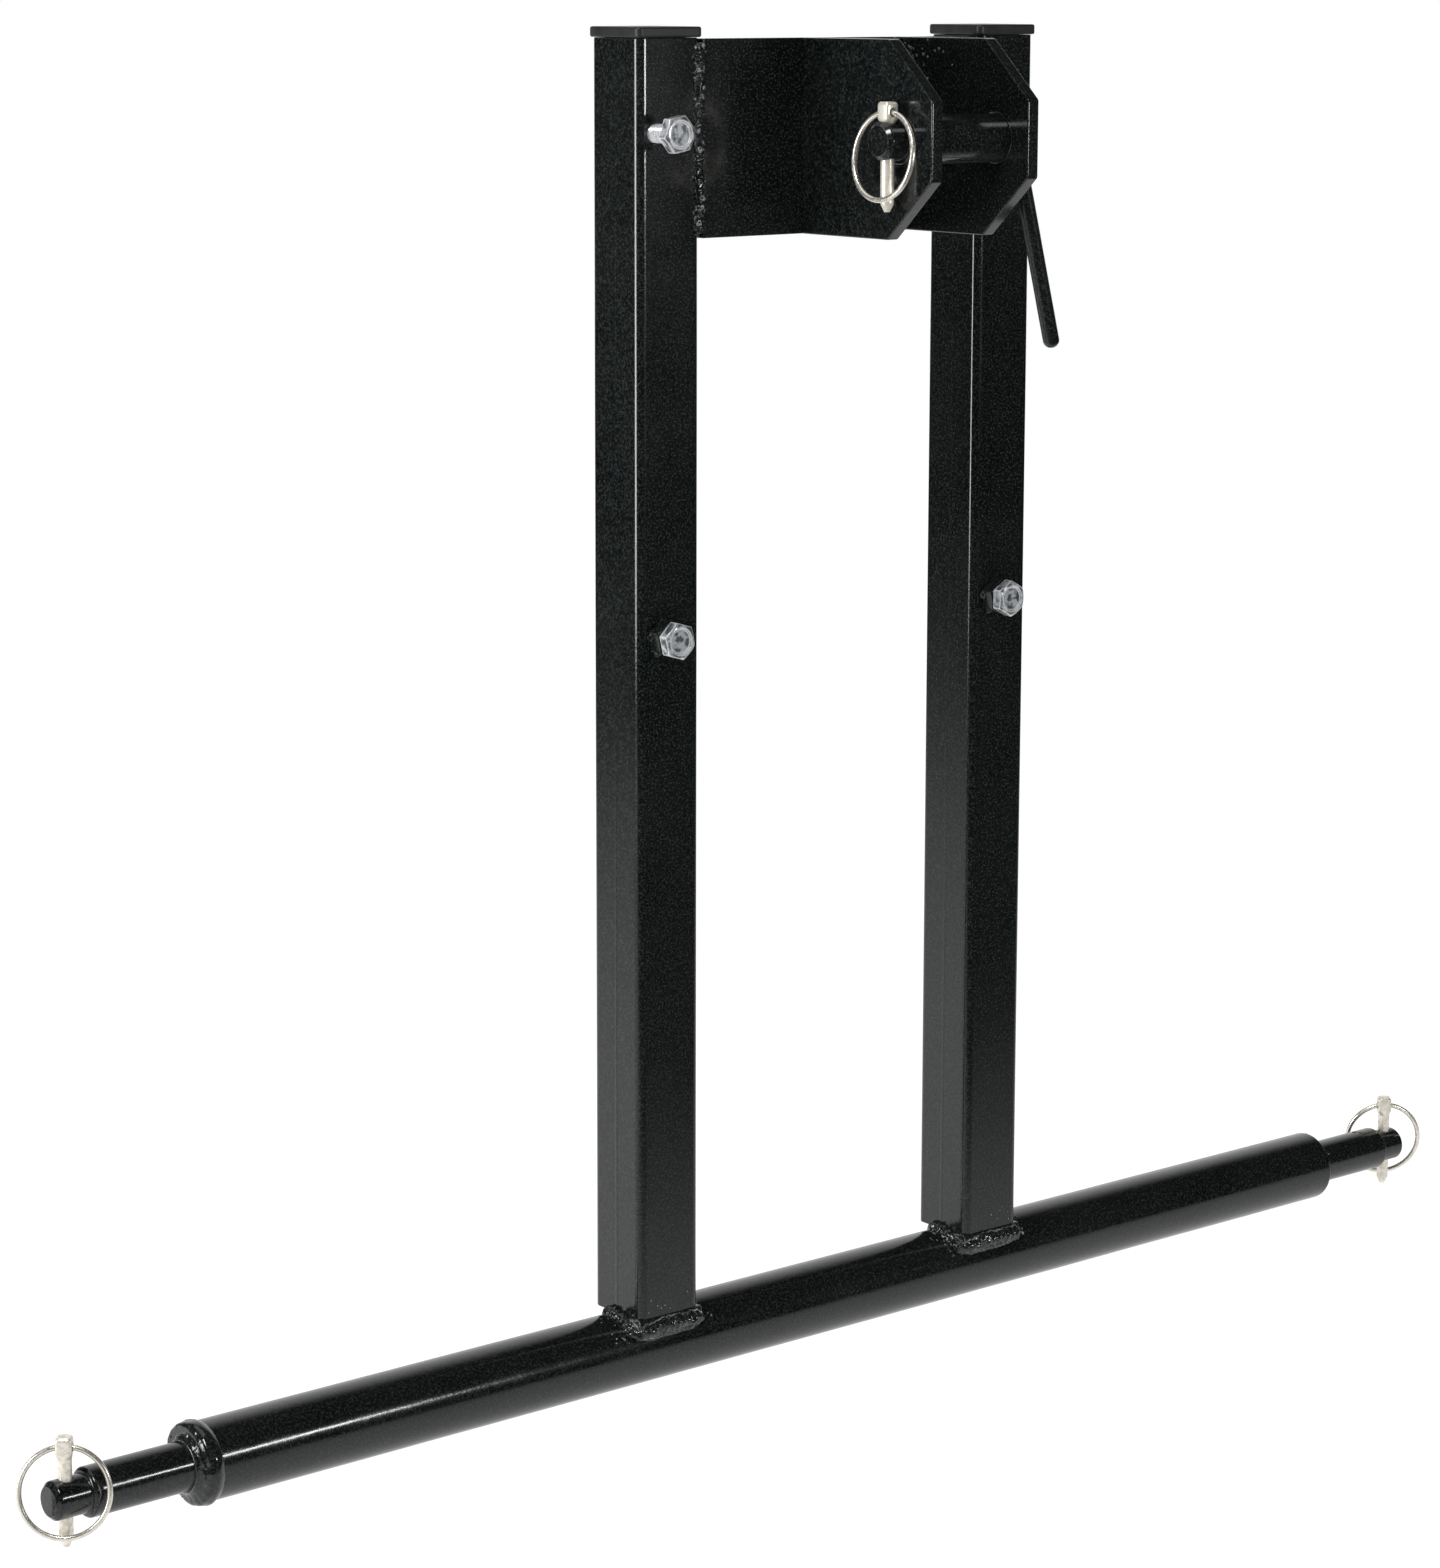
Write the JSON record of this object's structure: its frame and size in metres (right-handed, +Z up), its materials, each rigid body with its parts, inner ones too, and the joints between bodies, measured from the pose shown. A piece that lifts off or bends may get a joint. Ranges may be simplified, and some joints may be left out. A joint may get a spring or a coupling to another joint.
{
  "type": "tractor hitch frame",
  "caption": "Tractor three-point hitch frame: a cross tube with stepped pins, two uprights, a top-link bracket with its pin, clamp bolts and ring lynch pins.",
  "frame": {"origin": "middle of the cross tube's axis, halfway between the two hitch pins", "axes": "+X along the cross tube towards the end farther from the camera, -Y towards the bracket's open side, +Z up along the uprights"},
  "size_m": [0.6222, 0.09, 0.4564],
  "materials": {
    "black_paint": "satin black paint with a fine orange-peel",
    "weld_paint": "glossy black paint over rippled weld",
    "cap_black": "satin black",
    "zinc": "bright zinc plate",
    "pale_zinc": "pale yellowish zinc plate"
  },
  "bodies": {
    "frame": {"cross_tube": "black_paint", "left_hitch_pin": "black_paint", "left_pin_weld": "weld_paint", "right_hitch_pin": "black_paint", "right_pin_weld": "weld_paint", "left_upright": "black_paint", "left_cap": "cap_black", "left_foot_weld": "weld_paint", "right_upright": "black_paint", "right_cap": "cap_black", "right_foot_weld": "weld_paint", "cross_plate": "black_paint", "left_ear": "black_paint", "right_ear": "black_paint", "left_ear_weld": "weld_paint", "right_ear_weld": "weld_paint", "left_bracket_weld": "weld_paint", "right_bracket_weld": "weld_paint", "left_mid_nut": "black_paint", "right_mid_nut": "black_paint"},
    "left_mid_bolt": {"left_mid_bolt": "zinc"},
    "right_mid_bolt": {"right_mid_bolt": "zinc"},
    "left_upper_bolt": {"left_upper_bolt": "zinc"},
    "right_upper_bolt": {"right_upper_bolt": "zinc"},
    "top_pin": {"top_link_pin": "black_paint", "top_link_handle": "black_paint"},
    "top_lynch": {"top_lynch_pin": "pale_zinc"},
    "top_ring": {"top_lynch_ring": "pale_zinc"},
    "left_lynch": {"left_lynch_pin": "pale_zinc"},
    "left_ring": {"left_lynch_ring": "pale_zinc"},
    "right_lynch": {"right_lynch_pin": "pale_zinc"},
    "right_ring": {"right_lynch_ring": "pale_zinc"}
  },
  "joints": [
    {"name": "left_mid_bolt_screw", "type": "slide", "parent": "frame", "child": "left_mid_bolt", "axis": [0, -1, 0], "range_m": [0, 0.012]},
    {"name": "right_mid_bolt_screw", "type": "slide", "parent": "frame", "child": "right_mid_bolt", "axis": [0, -1, 0], "range_m": [0, 0.012]},
    {"name": "left_upper_bolt_screw", "type": "slide", "parent": "frame", "child": "left_upper_bolt", "axis": [0, -1, 0], "range_m": [-0.006, 0.009]},
    {"name": "right_upper_bolt_screw", "type": "slide", "parent": "frame", "child": "right_upper_bolt", "axis": [0, -1, 0], "range_m": [-0.006, 0.009]},
    {"name": "top_pin_turn", "type": "hinge", "parent": "frame", "child": "top_pin", "pos_m": [0, -0.0602, 0.4051], "axis": [1, 0, 0], "range_deg": [-180, 45]},
    {"name": "top_lynch_swivel", "type": "hinge", "parent": "top_pin", "child": "top_lynch", "pos_m": [-0.02276, -0.0602, 0.4051], "axis": [0, 0, 1], "range_deg": [-12, 12]},
    {"name": "top_ring_flip", "type": "hinge", "parent": "top_lynch", "child": "top_ring", "pos_m": [-0.02276, -0.0602, 0.4142], "axis": [0, 1, 0], "range_deg": [0, 120]},
    {"name": "left_lynch_swivel", "type": "hinge", "parent": "frame", "child": "left_lynch", "pos_m": [-0.2981, 0, 0], "axis": [0, 0, 1], "range_deg": [-102, 0]},
    {"name": "left_ring_flip", "type": "hinge", "parent": "left_lynch", "child": "left_ring", "pos_m": [-0.2981, 0, 0.0162], "axis": [-0.7771, 0.6293, 0], "range_deg": [0, 120]},
    {"name": "right_lynch_swivel", "type": "hinge", "parent": "frame", "child": "right_lynch", "pos_m": [0.2981, 0, 0], "axis": [0, 0, 1], "range_deg": [-102, 0]},
    {"name": "right_ring_flip", "type": "hinge", "parent": "right_lynch", "child": "right_ring", "pos_m": [0.2981, 0, 0.0162], "axis": [0.7771, -0.6293, 0], "range_deg": [0, 120]}
  ]
}
